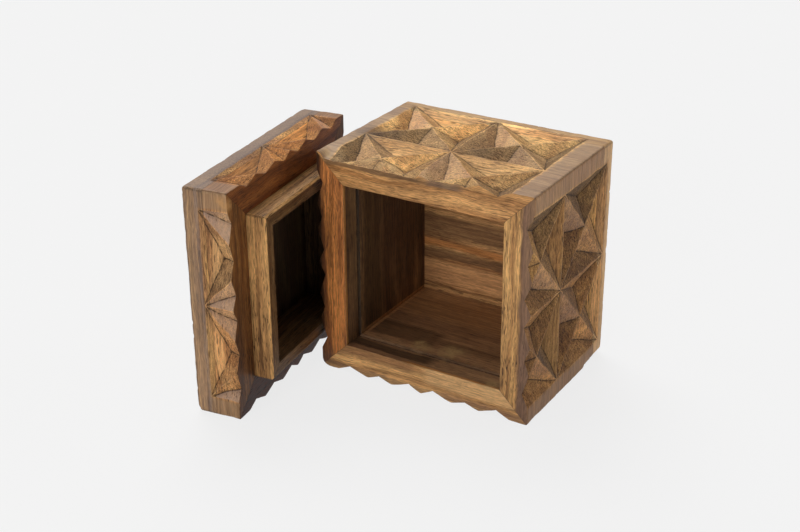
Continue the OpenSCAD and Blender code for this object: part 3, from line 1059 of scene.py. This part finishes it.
rightWood = {
    "light": "c09559", "dark": "91683b", "start": (75, 30, 310), "skin": "b88356", "skinDark": "936743",
    "facetGain": (1.45, 1.31, 1.15), "sawnGain": (1.42, 1.34, 1.35),
    "dashes": 0.9, "waviness": 6, "creaseDirtAndShade": 0.85,
    "bands": [band("sawn", "deep", 1.6, 7.4, "7a5b47", 0.85)],
    "tonesAndShade": [(99, 48, 89, 0.5), (99, 10, 88, 0.5), (99, 12, 82, 0.63), (99, 40, 82, 0.68),
              (99, 53, 81, 0.6), (99, 24, 28, 0.68), (99, 17, 22, 0.58), (99, 12, 40, 0.9),
              (99, 48, 47, 1.7), (99, 10, 11, 1.35), (98, 10, 47, 1.35), (99, 14, 59, 1.4, 0.3),
              (99, 53, 40, 1.25), (99, 37, 77, 1.3, 0.3), (99, 37, 36, 1.6, 0.3),
              (99, 54, 60, 1.65, 0.15), (99, 14, 18, 1.85, 0.25), (99, 54, 18, 1.75, 0.1),
              (99, 57, 65, 1.35), (99, 28, 54, 0.9), (99, 31, 53, 1.3), (99, 18, 63, 0.8),
              (99, 48, 11, 1.2), (98, 3, 37, 1.2), (99, 57, 23, 0.85), (99, 24, 70, 0.9)]}
board("rightBoard", "right_board", "box", "right", rightWood)

backWood = {
    "light": "cc9a60", "dark": "94643a", "start": (210, 8, 400), "skin": "c9a26f", "skinDark": "ab8358",
    "facetGain": (1.32, 1.56, 1.7), "withinGain": (1.15, 1.1, 1.08),
    "tilt": 1.0, "endDark": 0.15, "waviness": 2.5, "flecks": 0.35,
    "bands": [
        band("within", "across", 47.5, 11, "7f5a38", 0.7, wave=1.6),
        band("within", "across", 38.6, 3.4, "d68a48", 0.65, wave=1.2),
        band("within", "across", 33.5, 4.6, "6f4e31", 0.7, wave=1.4),
        band("within", "across", 24, 11, "e0a268", 0.6, wave=1.8),
        band("within", "across", 11, 5.5, "7a5030", 0.7, wave=0.6)],
    "tonesAndShade": [(2, 73, 50, 0.84), (100, 69, 50, 1.55), (99, 66, 29, 1.8), (99, 66, 71, 1.6),
              (26, 66, 99, 1.68), (68, 66, 99, 2.1)]}
board("backBoard", "back_board", "box", "back", backWood)

panelWood = {
    "light": "b0834f", "dark": "80583a", "start": (300, 70, 130), "skin": "9e866c", "skinDark": "7b6550",
    # the dark withinGain is painted shade inside the lid's hollow
    "pale": "a08a78", "facetGain": (1.38, 1.45, 1.4), "withinGain": (0.34, 0.42, 0.52),
    "skinCover": 0.4, "endDark": 0.15,
    "bands": [band("skin", "deep", 6.4, 1.5, "7d6a5e", 0.55, wave=0.5)],
    "tonesAndShade": [(100, -16, 49, 1.38), (50, -16, 100, 0.95, 0.4), (99, -12, 70, 1.65), (100, -12, 28, 1.3),
              (28, -12, 100, 2.25, 0.1), (69, -12, 100, 1.45)]}
board("lidPanel", "lid_panel", "lid", "panel", panelWood)

# The lid's four strips are the sides' wood, with colours of their own; their dark sawnGain is painted shade on the
# cut faces, which look into the shaded gap between lid and box
rimWood = {
    "light": "c48a50", "dark": "925c30", "facetGain": (1.4, 1.33, 1.05),
    "bands": [], "broken": [], "stained": [], "tonesAndShade": []}
board("lidRimTop", "lid_rim_top", "lid", "top", {
    **topWood, **rimWood, "skin": "97724f", "skinDark": "7f5c3f", "sawnGain": (0.66, 0.49, 0.37),
    "tonesAndShade": [(69, -9, 98, 0.78), (27, -9, 98, 1.12), (14, -4, 99, 1.4, 0.4), (56, -4, 99, 1.28),
              (42, -4, 99, 1.32), (50, -4, 99, 1.35), (84, -4, 99, 1.1)]})
board("lidRimBottom", "lid_rim_bottom", "lid", "bottom", {
    **bottomWood, **rimWood, "sawnGain": (0.19, 0.08, 0.03)})
board("lidRimLeft", "lid_rim_left", "lid", "left", {
    **leftWood, **rimWood, "sawnGain": (0.44, 0.39, 0.23)})
board("lidRimRight", "lid_rim_right", "lid", "right", {
    **rightWood, **rimWood, "skin": "c59d71", "skinDark": "9f7a53", "facetGain": (1.98, 2.38, 2.85),
    "sawnGain": (0.56, 0.5, 0.4), "flecks": 0.4, "ridgeWearAndHighlight": 0.3, "rawAndLit": "cc9558",
    "broken": [(100, -1.5, 95.5, 3.6, 0.85)],
    "tonesAndShade": [(98, -5, 78, 0.82), (98, -5, 63, 0.6), (98, -5, 36, 1.35), (98, -5, 21, 1.08),
              (98, -9, 70, 0.84), (98, -9, 28, 1.15), (99, -4, 85, 1.15, 0.75),
              (99, -4, 56, 1.05, 0.35), (99, -4, 43, 1.25, 0.45), (99, -4, 15, 1.3),
              (99, -4, 10, 1.2, 0.7), (99, -4, 52, 1.2, 0.7), (99, -4, 48, 1.1, 0.2),
              (99, -4, 90, 0.95, 0.35)]})

plugWood = {
    "light": "cf9f60", "dark": "9f7040", "start": (60, 90, 500), "ringRate": 0.5, "dashes": 1.0,
    "withinGain": (1.17, 1.12, 1.12)}
# painted shade: the plug's tip and outer faces darker and its hollow almost black; a painted highlight on its
# right bevel
plugPaintedShade = {   # the plug's tip is darker, and its hollow almost black
    "top": [(50, 8.6, 83, 0.4), (50, 0, 80.7, 0.2), (50, 4, 86.5, 0.72), (50, 8.15, 86.05, 0.95)],
    "bottom": [(50, 8.6, 17, 0.45), (50, 0, 19.3, 0.3)],
    "left": [(17, 8.6, 50, 0.5), (19.3, 0, 50, 0.2)],
    "right": [(83, 8.6, 50, 0.5), (80.7, 0, 50, 0.2), (86.05, 8.15, 50, 1.4)]}
for side, tonesAndShade in plugPaintedShade.items():
    board("plug" + side.title(), "plug_" + side, "lid", side, {**plugWood, "tonesAndShade": tonesAndShade})
print("all boards finished")
